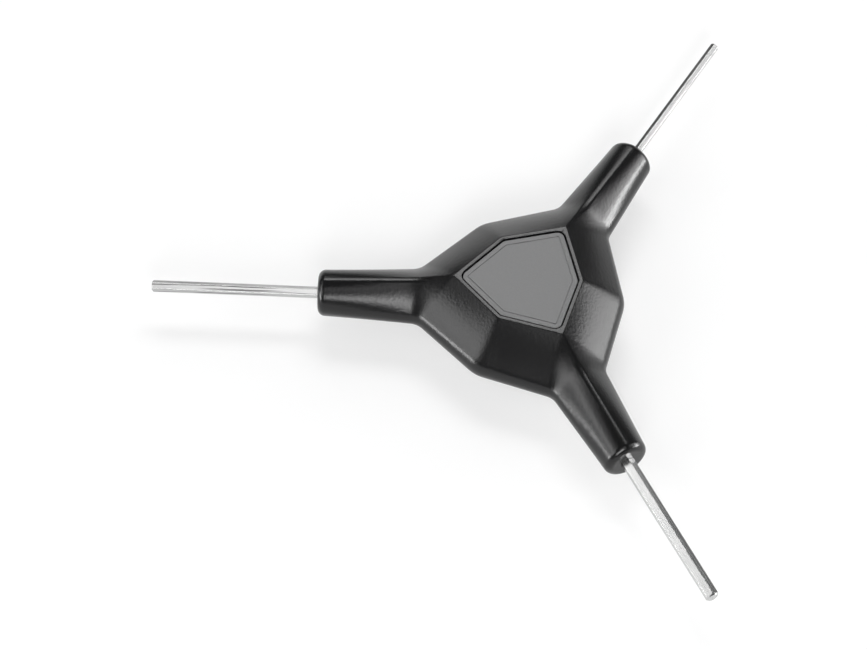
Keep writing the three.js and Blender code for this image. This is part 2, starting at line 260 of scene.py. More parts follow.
def section(width, height, radii):
    """Points (way out, height) from the crest down to the belt, over three arcs."""
    ridge, flank, belt_edge = radii
    ridge_centre = Vector((0, height - ridge))
    belt_centre = Vector((width - belt_edge, 0))
    span = belt_centre - ridge_centre
    along_span = ((flank - ridge) ** 2 - (flank - belt_edge) ** 2 + span.length_squared) / (2 * span.length)
    across_span = math.sqrt((flank - ridge) ** 2 - along_span**2)
    span.normalize()
    flank_centre = ridge_centre + span * along_span + Vector((span.y, -span.x)) * across_span
    ridge_lean = math.atan2(*(ridge_centre - flank_centre))
    belt_lean = math.atan2(*(belt_centre - flank_centre))
    arcs = [
        (ridge_centre, ridge, 0, ridge_lean, RIDGE_STEPS),
        (flank_centre, flank, ridge_lean, belt_lean, FLANK_STEPS),
        (belt_centre, belt_edge, belt_lean, math.pi / 2, BELT_STEPS),
    ]
    points = []
    for centre, radius, start, end, steps in arcs:
        for step in range(steps):
            lean = blend(start, end, step / steps)
            points.append(centre + radius * Vector((math.sin(lean), math.cos(lean))))
    return points + [Vector((width, 0))]


print(len(section(8 * MM, 8 * MM, (1 * MM, 30 * MM, 3 * MM))), "points in a section")

# %% [markdown]
# ### Rows of sections
# On the hub the flank is nearly flat, which makes a facet, and at the arm's end it is nearly as
# round as the belt, which makes the grip soft. So each of four places has its own three radii, and
# the rows between them blend. Both lines are cut at those places: a facet of the hub ends where
# the crest leaves the land and the belt enters its fillet, and the arm starts at the ridge's bend
# and the fillet's far end. Rows lie closer together up to just past each rounded corner, and
# again where the arm starts. The last rows turn over the rounded lip, where the section only
# draws in by the same amount all round.

# %% Lay the rows
AT_HUB_CORNER = (0.6 * MM, 80 * MM, 4.7 * MM)
AT_LAND_CORNER = (0.6 * MM, 35 * MM, 4.2 * MM)
AT_ROOT = (1.8 * MM, 27 * MM, 3.8 * MM)
AT_END = (2.6 * MM, 6.3 * MM, 4.8 * MM)
LAND_CORNER_SHARE = 0.055
HUB_CORNER_SHARE = 0.2
ARM_START_SHARE = 0.12
LIP_ROWS = 10


def spread(start, end, count):
    """Shares from start to end, without the start."""
    return [blend(start, end, step / count) for step in range(1, count + 1)]


def blend_radii(start, end, share):
    """Three radii part of the way between two places. The flank's bend is what changes evenly."""
    ridge, flank, belt_edge = zip(start, end)
    return blend(*ridge, share), 1 / blend(1 / flank[0], 1 / flank[1], share), blend(*belt_edge, share)


corner_shares = spread(0, LAND_CORNER_SHARE, 4) + spread(LAND_CORNER_SHARE, HUB_CORNER_SHARE, 4)
land_shares = [0] + corner_shares + spread(HUB_CORNER_SHARE, 1, 14)
slope_shares = spread(0, 1, 14)
arm_shares = spread(0, ARM_START_SHARE, 5) + spread(ARM_START_SHARE, 1, 20)

crest_to_land = length(land_corner + [crest_corners[1]])
crest_to_bend = crest_to_land + length([crest_corners[1]] + ridge_bend[: ROUND_STEPS // 2 + 1])
belt_to_fillet = length(hub_corner + root_fillet[:1])
belt_past_fillet = length(hub_corner + root_fillet)
stretches = [
    (land_shares, (0, crest_to_land), (0, belt_to_fillet), (AT_HUB_CORNER, AT_LAND_CORNER)),
    (slope_shares, (crest_to_land, crest_to_bend), (belt_to_fillet, belt_past_fillet), (AT_LAND_CORNER, AT_ROOT)),
    (arm_shares, (crest_to_bend, length(crest)), (belt_past_fillet, length(belt)), (AT_ROOT, AT_END)),
]

rows = []
for shares, crest_run, belt_run, radii in stretches:
    for share in shares:
        high = along(crest, blend(*crest_run, share))
        way = along(belt, blend(*belt_run, share)) - high
        way.z = 0
        outline = section(way.length, high.z, blend_radii(*radii, share))
        way.normalize()
        rows.append([Vector((high.x + way.x * p.x, high.y + way.y * p.x, p.y)) for p in outline])

for step in range(1, LIP_ROWS + 1):
    turn = math.pi / 2 * step / LIP_ROWS
    inset = LIP_RADIUS * (1 - math.cos(turn))
    outline = section(ARM_END.y - inset, ARM_END.z - inset, [radius - inset for radius in AT_END])
    rows.append([Vector((lip_start + LIP_RADIUS * math.sin(turn), p.x, p.y)) for p in outline])
print(f"{len(rows)} rows of {len(rows[0])} points")

# %% [markdown]
# ### From a grid to the whole skin
# A grid primitive has just the right structure for such a sheet: its rows and columns are there
# already, and each point only moves to its place. A Mirror modifier across two planes then makes
# a whole arm.

# %% Place a grid on the rows and mirror it
clear()
row_faces = len(rows) - 1
column_faces = len(rows[0]) - 1
bpy.ops.mesh.primitive_grid_add(x_subdivisions=row_faces, y_subdivisions=column_faces, size=1)
handle = bpy.context.object
handle.name = "moulded_handle"
for point in handle.data.vertices:
    row = round((point.co.x + 0.5) * row_faces)
    column = round((point.co.y + 0.5) * column_faces)
    point.co = rows[row][column]
apply_modifier(handle, "MIRROR", use_axis=(False, True, True), merge_threshold=WELD)
print(len(handle.data.polygons), "faces in one arm")

# %% [markdown]
# ### Three arms make the skin
# The arms are alike, so the finished one is copied twice and each is turned to its own bar. Once
# they are joined, the points on their shared borders are merged, and the openings that are left,
# which are the land, the back and the arms' ends, are closed with one flat face each.

# %% Repeat the arm
arms = [handle]
for angle in list(arm_angles.values())[1:]:
    only(handle)
    bpy.ops.object.duplicate()
    bpy.context.object.rotation_euler.z = math.radians(angle)
    arms.append(bpy.context.object)
handle.rotation_euler.z = math.radians(arm_angles["hex_key_2_5mm"])
only(*arms)
bpy.ops.object.join()
handle.location.z = middle
place(handle)
pick(handle, "VERT", lambda point: True)
bpy.ops.mesh.remove_doubles(threshold=WELD)
bpy.ops.mesh.fill_holes(sides=0)
bpy.ops.mesh.normals_make_consistent(inside=False)
only(handle)
print(len(handle.data.polygons), "faces in the closed skin")

# %% [markdown]
# ### Flat faces that stay flat
# The flat back and the arms' flat ends now are single large faces. If such a face met the rounded
# edge directly, smooth shading would bend its reflections, so a narrow ring is inset along its
# edge first, and the face inside it stays truly flat.

# %% Ring the flat faces
RING = 0.35 * MM
FLAT_FACE_POINTS = 12


def is_back_or_end(face):
    """A large flat face other than the front land."""
    return len(face.vertices) > FLAT_FACE_POINTS and face.normal.z < 0.5


ringed = pick(handle, "FACE", is_back_or_end)
bpy.ops.mesh.inset(thickness=RING)
only(handle)
print(ringed, "flat faces ringed")

# %% [markdown]
# ## Outlines that follow the land
# The recess, the plate in it and the fine line cut in the plate all follow the edge of the land,
# each one a little further in. One helper draws them: a circle of six points, of which three lie
# along the arms while the other three are drawn in, and then its corners are rounded. The points
# of an outline go into a vertex group with its name, so they can be found again after a join.

# %% Draw an outline
OUTLINE_ROUND_STEPS = 6
land_side = crest_corners[0] - crest_corners[1]
side_tilt = math.atan2(-land_side.x, land_side.y)


def corner_cuts(arm_corner, mid_corner, arm_radius, mid_radius):
    """How far from each kind of corner its rounding starts."""
    arm_point = toward(math.pi, arm_corner)
    mid_points = [toward(math.pi + side * HALF_SECTOR, mid_corner) for side in (-1, 1)]
    next_arm_point = toward(math.pi + 2 * HALF_SECTOR, arm_corner)
    arm_cut = setback(mid_points[0], arm_point, mid_points[1], arm_radius)
    mid_cut = setback(arm_point, mid_points[1], next_arm_point, mid_radius)
    return {arm_corner: arm_cut, mid_corner: mid_cut}


def land_outline(name, inset, arm_radius, mid_radius):
    """A closed line on the land, this far in from the land's edge, with rounded corners."""
    arm_corner = LAND_ARM_CORNER - inset / math.cos(side_tilt)
    mid_corner = LAND_MID_CORNER - inset / math.cos(HALF_SECTOR - side_tilt)
    clear()
    bpy.ops.mesh.primitive_circle_add(vertices=6, radius=arm_corner, location=(0, 0, top))
    outline = bpy.context.object
    outline.rotation_euler.z = HALF_SECTOR / 2
    place(outline)
    pick(outline, "VERT", lambda point: round(math.degrees(math.atan2(point.co.y, point.co.x))) % 120 == 0)
    shrink = mid_corner / arm_corner
    bpy.ops.transform.resize(value=(shrink, shrink, 1), center_override=(0, 0, top))
    for reach, cut in corner_cuts(arm_corner, mid_corner, arm_radius, mid_radius).items():
        pick(outline, "VERT", lambda point: abs(point.co.xy.length - reach) < WELD)
        bpy.ops.mesh.bevel(affect="VERTICES", offset=cut, offset_type="OFFSET", segments=OUTLINE_ROUND_STEPS)
    only(outline)
    group = outline.vertex_groups.new(name=name)
    group.add(range(len(outline.data.vertices)), 1, "REPLACE")
    return outline


def on_outline(piece, *names):
    """A test for the level edges that lie on one of these outlines."""
    wanted = {piece.vertex_groups[name].index for name in names}

    def test(edge):
        ends = [piece.data.vertices[index] for index in edge.vertices]
        shared = wanted.intersection(*({entry.group for entry in end.groups} for end in ends))
        return bool(shared) and abs(ends[0].co.z - ends[1].co.z) < WELD

    return test


print(f"the land's sides lean {math.degrees(side_tilt):.1f} degrees")

# %% [markdown]
# ### The recess
# On the real handle the mould leaves a shallow bed for the plate, with a narrow raised rim round
# it. Here the front land is deleted, an outline is joined in its place and bridged to the land's
# edge, and the outline is then extruded down and filled. Its edges are bevelled a little, because
# the thin bright line along the rim comes from that rounding.

# %% Cut the recess
RIM_WIDTH = 0.7 * MM
PLATE_GAP = 0.35 * MM
PLATE_CORNER_RADII = (1.7 * MM, 0.5 * MM)
RECESS_DEPTH = 1.8 * MM
RIM_BEVEL = 0.1 * MM

mouth = land_outline("mouth", RIM_WIDTH, *[radius + PLATE_GAP for radius in PLATE_CORNER_RADII])
pick(handle, "FACE", lambda face: face.normal.z > 0.99 and len(face.vertices) > FLAT_FACE_POINTS)
bpy.ops.mesh.delete(type="ONLY_FACE")
only(handle, mouth)
bpy.ops.object.join()


def at_top(edge):
    """Both ends of an edge of the handle lie in the plane of the land."""
    return all(handle.data.vertices[index].co.z > top - WELD for index in edge.vertices)


pick(handle, "EDGE", at_top)
bpy.ops.mesh.bridge_edge_loops()
pick(handle, "EDGE", on_outline(handle, "mouth"))
bpy.ops.mesh.extrude_edges_move(TRANSFORM_OT_translate={"value": (0, 0, -RECESS_DEPTH)})
bpy.ops.mesh.edge_face_add()
rounded = pick(handle, "EDGE", on_outline(handle, "mouth"))
bpy.ops.mesh.bevel(affect="EDGES", offset=RIM_BEVEL, segments=3)
only(handle)
print(f"recess {RECESS_DEPTH / MM:.1f} mm deep, {rounded} edges rounded")

# %% [markdown]
# ### The space inside
# The handle is moulded round a stiff core, and each bar passes through a snug hexagonal hole. The
# core's solid is in the frame already, so a copy of it is fattened by the clearance and cut out
# of the handle with a Boolean modifier, and a six-sided prism does the same for each bar. Nobody
# sees the hollow, but the handle is then a true shell and no two pieces share one place.

# %% Cut the hollow and the bores
CORE_CLEARANCE = 0.3 * MM
BAR_CLEARANCE = 0.15 * MM
BAR_FLATS = {"hex_key_2_5mm": 2.5 * MM, "hex_key_3mm": 3 * MM, "hex_key_2mm": 2 * MM}
BAR_ROOT = 9.5 * MM
OVERRUN = 1 * MM


def cut(piece, tool, operation="DIFFERENCE"):
    """Cut one piece with another, which is then thrown away."""
    apply_modifier(piece, "BOOLEAN", object=tool, operation=operation, solver="EXACT")
    bpy.data.objects.remove(tool)


def rod(sides, radius, start, end, angle):
    """A straight rod along an arm, between two distances from the hub, with a corner up."""
    clear()
    bpy.ops.mesh.primitive_cylinder_add(vertices=sides, radius=radius, depth=end - start)
    stick = bpy.context.object
    stick.rotation_euler.z = math.radians(90)
    place(stick)
    stick.rotation_euler = (0, math.radians(90), math.radians(angle))
    stick.location = toward(math.radians(angle), (start + end) / 2, middle)
    place(stick)
    return stick


clear()
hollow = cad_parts["inner_core"].copy()
hollow.data = hollow.data.copy()
hollow.parent = None
bpy.context.collection.objects.link(hollow)
pick(hollow, "VERT", lambda point: True)
bpy.ops.mesh.remove_doubles(threshold=WELD)
bpy.ops.transform.shrink_fatten(value=CORE_CLEARANCE, use_even_offset=True)
only(hollow)
print("hollow", [round(size / MM, 2) for size in hollow.dimensions])

cut(handle, hollow)
for name, angle in arm_angles.items():
    bore_radius = (BAR_FLATS[name] + 2 * BAR_CLEARANCE) / math.sqrt(3)
    cut(handle, rod(6, bore_radius, BAR_ROOT - BAR_CLEARANCE, arm_reach + OVERRUN, angle))
print(len(handle.data.polygons), "faces after the cuts")

# %% [markdown]
# ### Smooth where it is round, sharp where it is cut
# Faces that meet at a small angle are shaded as one surface, and the rest keep their edges. That
# alone would bend a long flat toward its rounded edge, and it would shade the thin rim of the
# recess unevenly, so a Weighted Normal modifier lets the largest faces decide. Every finished
# piece is named, rides on the one body that the tool has, and stands for its solid.

# %% Finish the handle
SMOOTH_ANGLE = math.radians(28)


def finish_piece(piece, name, node):
    """Shade a piece, name it and let it stand for its solid in the frame."""
    only(piece)
    bpy.ops.object.shade_smooth_by_angle(angle=SMOOTH_ANGLE)
    apply_modifier(piece, "WEIGHTED_NORMAL", keep_sharp=True)
    piece.vertex_groups.clear()
    piece.name = name
    piece.data.name = name
    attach(piece, "root")
    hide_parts(node)
    print(name, "has", sum(len(face.vertices) - 2 for face in piece.data.polygons), "triangles")


finish_piece(handle, "moulded_handle", "grip")

# %% [markdown]
# ## The front plate
# The plate is a thin moulding that drops into the recess with a small gap all round. A fine line
# is cut along its edge. Three outlines make it: the plate's own edge and the two sides of the
# line. They are joined and bridged while they lie in one plane, which gives the plate's face.

# %% Join three outlines into the plate's face
LINE_INSET = 1.12 * MM
LINE_WIDTH = 0.22 * MM
LINE_CORNER_RADII = (0.3 * MM, 0.3 * MM)
plate_inset = RIM_WIDTH + PLATE_GAP

plate = land_outline("edge", plate_inset, *PLATE_CORNER_RADII)
line_outside = land_outline("line_outside", plate_inset + LINE_INSET, *LINE_CORNER_RADII)
line_inside = land_outline("line_inside", plate_inset + LINE_INSET + LINE_WIDTH, *LINE_CORNER_RADII)
only(plate, line_outside, line_inside)
bpy.ops.object.join()
for pair in (("edge", "line_outside"), ("line_outside", "line_inside")):
    pick(plate, "EDGE", on_outline(plate, *pair))
    bpy.ops.mesh.bridge_edge_loops()
pick(plate, "EDGE", on_outline(plate, "line_inside"))
bpy.ops.mesh.edge_face_add()
only(plate)
print(len(plate.data.polygons), "faces in the plate's face")

# %% [markdown]
# ### The line and the plate's thickness
# The ring between the two sides of the line is pressed in, and the plate's edge is drawn down to
# give it its thickness. The plate is then lowered a little, so that the rim stands proud of it and
# the gap shows as a dark line, wider where the camera sees the far wall of the recess.

# %% Press the line in and draw the edge down
PLATE_THICKNESS = 1.5 * MM
PLATE_BEVEL = 0.12 * MM
LINE_DEPTH = 0.15 * MM
PLATE_SINK = 0.22 * MM
line_groups = {plate.vertex_groups[name].index for name in ("line_outside", "line_inside")}


def in_line(face):
    """A face of the ring between the two sides of the fine line."""
    groups = [{entry.group for entry in plate.data.vertices[index].groups} for index in face.vertices]
    return set.union(*groups) == line_groups


pick(plate, "FACE", in_line)
bpy.ops.mesh.extrude_region_move(TRANSFORM_OT_translate={"value": (0, 0, -LINE_DEPTH)})
pick(plate, "EDGE", on_outline(plate, "edge"))
bpy.ops.mesh.extrude_edges_move(TRANSFORM_OT_translate={"value": (0, 0, -PLATE_THICKNESS)})
bpy.ops.mesh.edge_face_add()
pick(plate, "FACE", lambda face: True)
bpy.ops.mesh.normals_make_consistent(inside=False)
rounded = pick(plate, "EDGE", on_outline(plate, "edge"))
bpy.ops.mesh.bevel(affect="EDGES", offset=PLATE_BEVEL, segments=3)
only(plate)
plate.location.z = -PLATE_SINK
place(plate)
print(rounded, "edges of the plate rounded")
finish_piece(plate, "front_plate_insert", "front_plate")

# %% [markdown]
# ## The three steel bars
# A hexagonal bar is drawn through a die, which leaves its long edges very slightly round, and its
# tip is then turned on a lathe, so a cone cuts the six flats in six small arcs. The bar starts as
# a six-sided rod with its long edges bevelled. A round blank with one chamfered end stands for
# the turning, and a Boolean keeps what lies inside both. Near the inner end two notches hold the
# bar in the core, as on a moulded-in bar.

# %% Model a bar
BAR_REACH = 92.3 * MM
BAR_EDGE_BEVEL = 0.07 * MM
TIP_CHAMFER_SHARE = 0.16
BLANK_SIDES = 64
NOTCH_DEPTH = 0.4 * MM
NOTCH_WIDTH = 2.4 * MM
NOTCH_REACH = 15 * MM


def turned_blank(flats, angle):
    """A round blank that ends in the turned cone of a bar's tip."""
    corner_reach = flats / math.sqrt(3)
    tip_radius = corner_reach - TIP_CHAMFER_SHARE * flats
    blank_radius = corner_reach + OVERRUN
    blank = rod(BLANK_SIDES, blank_radius, BAR_ROOT - OVERRUN, BAR_REACH, angle)
    direction = toward(math.radians(angle), 1)

    def at_tip(edge):
        """Both ends of an edge lie in the plane of the bar's tip."""
        ends = [blank.data.vertices[index].co for index in edge.vertices]
        return all(end.dot(direction) > BAR_REACH - WELD for end in ends)

    pick(blank, "EDGE", at_tip)
    bpy.ops.mesh.bevel(affect="EDGES", offset=blank_radius - tip_radius, segments=1)
    return blank


def notch_tool(flats, angle, side):
    """A block that cuts the notch in one upright flat."""
    clear()
    bpy.ops.mesh.primitive_cube_add(size=1, scale=(NOTCH_WIDTH, flats, 2 * flats))
    block = bpy.context.object
    block.location = (NOTCH_REACH, side * (flats - NOTCH_DEPTH), 0)
    place(block)
    block.rotation_euler.z = math.radians(angle)
    block.location.z = middle
    place(block)
    return block


def steel_bar(name):
    """One bar with its rounded edges, turned tip and notches."""
    flats, angle = BAR_FLATS[name], arm_angles[name]
    bar = rod(6, flats / math.sqrt(3), BAR_ROOT, BAR_REACH, angle)

    def is_long(edge):
        """An edge that runs the whole length of the bar."""
        near, far = [bar.data.vertices[index].co for index in edge.vertices]
        return (far - near).length > BAR_REACH / 2

    pick(bar, "EDGE", is_long)
    bpy.ops.mesh.bevel(affect="EDGES", offset=BAR_EDGE_BEVEL, segments=3)
    cut(bar, turned_blank(flats, angle), "INTERSECT")
    for side in (-1, 1):
        cut(bar, notch_tool(flats, angle, side))
    return bar


bars = {}
for name in arm_angles:
    bars[name] = steel_bar(name)
    finish_piece(bars[name], name.replace("hex_key", "steel_bar"), name)

# %% [markdown]
# ## Finishes
# Every finish is drawn by nodes from the place on the object, so no picture is needed and nothing
# slides when the camera moves. These helpers keep the recipes short: one starts a material and
# writes the plain numbers on the shader itself, and one adds a node with its values and links.
# Two more hold what nearly every finish does: a noise mixes two shades or varies the gloss.

# %% Material helpers
def new_finish(name, **plain):
    """A material, its shader with plain values written on its own sockets, and its coordinates."""
    finish = bpy.data.materials.new(name)
    finish.use_nodes = True
    shader = finish.node_tree.nodes["Principled BSDF"]
    for socket, value in plain.items():
        shader.inputs[socket.replace("_", " ")].default_value = value
    coordinates = finish.node_tree.nodes.new("ShaderNodeTexCoord")
    return finish, shader, coordinates.outputs["Object"]


def add_node(finish, kind, inputs, **settings):
    """Add a node. Each input is a plain value or the output of another node."""
    node = finish.node_tree.nodes.new("ShaderNode" + kind)
    for name, value in settings.items():
        setattr(node, name, value)
    for socket, value in inputs.items():
        if isinstance(value, bpy.types.NodeSocket):
            finish.node_tree.links.new(value, node.inputs[socket])
        else:
            node.inputs[socket].default_value = value
    return node


def connect(finish, output, shader, socket):
    """Link an output to the shader."""
    finish.node_tree.links.new(output, shader.inputs[socket])


def mix_shades(finish, noise, shades):
    """A node that goes from the first shade to the second with a noise."""
    first, second = shades
    return add_node(finish, "MixRGB", {"Fac": noise.outputs["Fac"], "Color1": first, "Color2": second})


def vary_gloss(finish, noise, roughness, shader):
    """Let a noise carry the shader's roughness between two values."""
    low, high = roughness
    gloss = add_node(finish, "MapRange", {"Value": noise.outputs["Fac"], "To Min": low, "To Max": high})
    connect(finish, gloss.outputs["Result"], shader, "Roughness")


def cover(piece, finish):
    """Give a piece this one finish."""
    piece.data.materials.clear()
    piece.data.materials.append(finish)


print("finish helpers ready")

# %% [markdown]
# ### Black moulded plastic
# The handle is black plastic with the fine leather grain that a spark-eroded mould leaves. The
# grain is about half a millimetre from bump to bump: small cells give its pattern, a finer noise
# breaks them up, and both only tilt the surface a little. A wide, weak noise varies the black and
# the gloss, as handling does.

# %% Black plastic
GRAIN = 1 / (0.55 * MM)
GRAIN_HEIGHT = 0.022 * MM
FINE_GRAIN = 2.5 * GRAIN
FINE_GRAIN_SHARE = 0.6
PATCH = 1 / (14 * MM)
BLACKS = (0.004, 0.004, 0.0042, 1), (0.007, 0.007, 0.0073, 1)
BLACK_ROUGHNESS = (0.22, 0.27)


def grained_plastic(name, shades, roughness, grain_height):
    """Moulded plastic with a leather grain, between two shades and two roughnesses."""
    finish, shader, place_in = new_finish(name, Specular_IOR_Level=0.4)
    patches = add_node(finish, "TexNoise", {"Vector": place_in, "Scale": PATCH, "Detail": 4.0})
    shade = mix_shades(finish, patches, shades)
    connect(finish, shade.outputs["Color"], shader, "Base Color")

    cells = add_node(finish, "TexVoronoi", {"Vector": place_in, "Scale": GRAIN}, feature="SMOOTH_F1")
    fine = add_node(finish, "TexNoise", {"Vector": place_in, "Scale": FINE_GRAIN, "Detail": 2.0})
    grain = add_node(
        finish,
        "Math",
        {0: fine.outputs["Fac"], 1: FINE_GRAIN_SHARE, 2: cells.outputs["Distance"]},
        operation="MULTIPLY_ADD",
    )
    bump = add_node(finish, "Bump", {"Height": grain.outputs[0], "Strength": 1.0, "Distance": grain_height})
    connect(finish, bump.outputs["Normal"], shader, "Normal")

    vary_gloss(finish, patches, roughness, shader)
    return finish


cover(handle, grained_plastic("handle_plastic", BLACKS, BLACK_ROUGHNESS, GRAIN_HEIGHT))
print("grain cells", round(1000 / GRAIN, 2), "mm across")

# %% [markdown]
# ### Matt grey plate
# The plate is a smoother plastic with a matt face. Its grey is partly painted reflection: it looks
# grey largely by mirroring the lamp above, like the rim round it, and a paler base colour stands in
# for part of that light, so it reflects less than the handle. It gets only the finest speckle, so it
# reads as another part.

# %% Plate plastic
SPECKLE = 1 / (0.3 * MM)
SPECKLE_HEIGHT = 0.002 * MM
# Grey shades of the plate, partly painted reflection of the lamp above.
GREYS_WITH_PAINTED_REFLECTION = (0.158, 0.159, 0.16, 1), (0.188, 0.189, 0.19, 1)

plate_plastic, plate_shader, plate_place = new_finish("plate_plastic", Specular_IOR_Level=0.3, Roughness=0.5)
speckle = add_node(plate_plastic, "TexNoise", {"Vector": plate_place, "Scale": SPECKLE, "Detail": 3.0})
plate_grey_with_painted_reflection = mix_shades(plate_plastic, speckle, GREYS_WITH_PAINTED_REFLECTION)
connect(plate_plastic, plate_grey_with_painted_reflection.outputs["Color"], plate_shader, "Base Color")
plate_bump = add_node(
    plate_plastic, "Bump", {"Height": speckle.outputs["Fac"], "Strength": 1.0, "Distance": SPECKLE_HEIGHT}
)
connect(plate_plastic, plate_bump.outputs["Normal"], plate_shader, "Normal")
cover(plate, plate_plastic)
print("plate finished")

# %% [markdown]
# ### Drawn steel
# A bar is drawn lengthwise through a die, so its fine lines run along it. Noise that is stretched
# some eighty times along the bar gives them. A coarser noise of the same kind draws a few long dark
# streaks. They are partly die marks and partly painted reflection: the deep ones on the 2.5 mm bar
# stand in for the dark surroundings that its faces mirror. A weak, wide noise tarnishes the steel
# a little. The lines have to be turned with each arm, so each bar has its own copy of the finish.

# %% Steel
BRUSH = 1 / (0.12 * MM)
BRUSH_STRETCH = 0.012
BRUSH_HEIGHT = 0.0015 * MM
# Dark streaks on the bars, partly die marks and partly painted reflection; the 2.5 mm bar gets the deepest.
MARK_AND_PAINTED_REFLECTION = 1 / (0.45 * MM)
MARK_AND_PAINTED_REFLECTION_RANGE = (0.52, 0.62)
MARK_AND_PAINTED_REFLECTION_DEPTHS = {"hex_key_2_5mm": 0.9, "hex_key_3mm": 0.2, "hex_key_2mm": 0.2}
MARK_AND_PAINTED_REFLECTION_SHADE = (0.1, 0.1, 0.1, 1)
TARNISH = 1 / (6 * MM)
STEELS = (0.52, 0.522, 0.525, 1), (0.62, 0.62, 0.615, 1)
STEEL_ROUGHNESS = (0.2, 0.32)


def drawn_steel(name, angle, mark_and_painted_reflection_depth):
    """Bright steel with fine lines along an arm, and dark streaks of die marks and painted reflection."""
    finish, shader, place_in = new_finish(name, Metallic=1.0)
    turned = add_node(finish, "Mapping", {"Vector": place_in, "Rotation": (0, 0, -math.radians(angle))})
    stretched = add_node(finish, "Mapping", {"Vector": turned.outputs[0], "Scale": (BRUSH_STRETCH, 1, 1)})
    lines = add_node(finish, "TexNoise", {"Vector": stretched.outputs[0], "Scale": BRUSH, "Detail": 3.0})
    tarnish = add_node(finish, "TexNoise", {"Vector": place_in, "Scale": TARNISH, "Detail": 3.0})
    clean = mix_shades(finish, tarnish, STEELS)

    # Painted reflection: these dark streaks stand in for dark surroundings mirrored in the steel, as well as die
    # marks.
    marks_and_painted_reflection = add_node(finish, "TexNoise", {"Vector": stretched.outputs[0], "Scale": MARK_AND_PAINTED_REFLECTION, "Detail": 2.0})
    depth = add_node(
        finish,
        "MapRange",
        {
            "Value": marks_and_painted_reflection.outputs["Fac"],
            "From Min": MARK_AND_PAINTED_REFLECTION_RANGE[0],
            "From Max": MARK_AND_PAINTED_REFLECTION_RANGE[1],
            "To Min": 0.0,
            "To Max": mark_and_painted_reflection_depth,
        },
    )
    shade = add_node(
        finish, "MixRGB", {"Fac": depth.outputs[0], "Color1": clean.outputs["Color"], "Color2": MARK_AND_PAINTED_REFLECTION_SHADE}
    )
    connect(finish, shade.outputs["Color"], shader, "Base Color")

    vary_gloss(finish, lines, STEEL_ROUGHNESS, shader)
    bump = add_node(finish, "Bump", {"Height": lines.outputs["Fac"], "Strength": 1.0, "Distance": BRUSH_HEIGHT})
    connect(finish, bump.outputs["Normal"], shader, "Normal")
    return finish


for name, bar in bars.items():
    size = name.removeprefix("hex_key_")
    cover(bar, drawn_steel(f"drawn_steel_{size}", arm_angles[name], MARK_AND_PAINTED_REFLECTION_DEPTHS[name]))
print(len(bars), "bars finished")

# %% [markdown]
# ### Glass-filled nylon
# The core inside the handle is a stiff nylon with short glass fibres. It is hidden, but it keeps
# its own solid from the frame and gets a real finish too: dull, with pale specks of fibre.

# %% Core nylon
FIBRE = 1 / (0.4 * MM)
FIBRE_RANGE = (0.55, 0.75)
FIBRE_HEIGHT = 0.01 * MM
NYLON = (0.032, 0.032, 0.03, 1)
GLASS_SPECK = (0.09, 0.09, 0.085, 1)
NYLON_ROUGHNESS = (0.55, 0.75)

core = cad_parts["inner_core"]
core_nylon, core_shader, core_place = new_finish("core_nylon")
fibres = add_node(core_nylon, "TexNoise", {"Vector": core_place, "Scale": FIBRE, "Detail": 5.0})
specks = add_node(
    core_nylon,
    "MapRange",
    {"Value": fibres.outputs["Fac"], "From Min": FIBRE_RANGE[0], "From Max": FIBRE_RANGE[1]},
)
core_shade = add_node(
    core_nylon, "MixRGB", {"Fac": specks.outputs["Result"], "Color1": NYLON, "Color2": GLASS_SPECK}
)
connect(core_nylon, core_shade.outputs["Color"], core_shader, "Base Color")
vary_gloss(core_nylon, fibres, NYLON_ROUGHNESS, core_shader)
core_bump = add_node(core_nylon, "Bump", {"Height": fibres.outputs["Fac"], "Distance": FIBRE_HEIGHT})
connect(core_nylon, core_bump.outputs["Normal"], core_shader, "Normal")
cover(core, core_nylon)
print("core finished")

# %% [markdown]
# ## The studio
# The picture is taken with a long lens from the front and above, so the shape is hardly drawn
# together by distance. The camera's place is given from the middle of the hub. Its place, turn and
# focal length belong together: they put the hub, the arms' ends and the bars' tips where they lie
# in the photograph.

# %% Camera
SENSOR_WIDTH = 36
FOCAL_LENGTH = 148.5
CAMERA_PLACE = Vector((-6.64, -470.06, 744.28)) * MM
CAMERA_TURN = [math.radians(angle) for angle in (31.843, -0.354, 2.538)]
hub = Vector((0, 0, middle))

camera_data = bpy.data.cameras.new("camera")
camera_data.sensor_width = SENSOR_WIDTH
camera_data.lens = FOCAL_LENGTH
camera = bpy.data.objects.new("camera", camera_data)
bpy.context.collection.objects.link(camera)
camera.location = hub + CAMERA_PLACE
camera.rotation_euler = CAMERA_TURN
bpy.context.scene.camera = camera
print("camera stands", round(CAMERA_PLACE.length, 3), "m from the hub")

# %% [markdown]
# ### The floor
# The floor is a large pale sheet, and half of what a camera or a shiny surface sees of it is a
# plain white glow. So the ground reads as white without more light on the tool, and the tool's
# own soft shadow stays on it.

# %% Floor
FLOOR_RADIUS = 4
FLOOR_TONES = (0.92, 0.92, 0.92, 1), (0.94, 0.94, 0.94, 1)
FLOOR_PATCH = 6.0
GLOW_SHARE = 0.5

clear()
bpy.ops.mesh.primitive_circle_add(vertices=96, radius=FLOOR_RADIUS, fill_type="NGON")
floor = bpy.context.object
floor.name = "floor"
floor_paint, floor_shader, floor_place = new_finish("floor_paint", Roughness=0.8, Specular_IOR_Level=0.2)
floor_patches = add_node(floor_paint, "TexNoise", {"Vector": floor_place, "Scale": FLOOR_PATCH, "Detail": 2.0})
floor_shade = mix_shades(floor_paint, floor_patches, FLOOR_TONES)
connect(floor_paint, floor_shade.outputs["Color"], floor_shader, "Base Color")

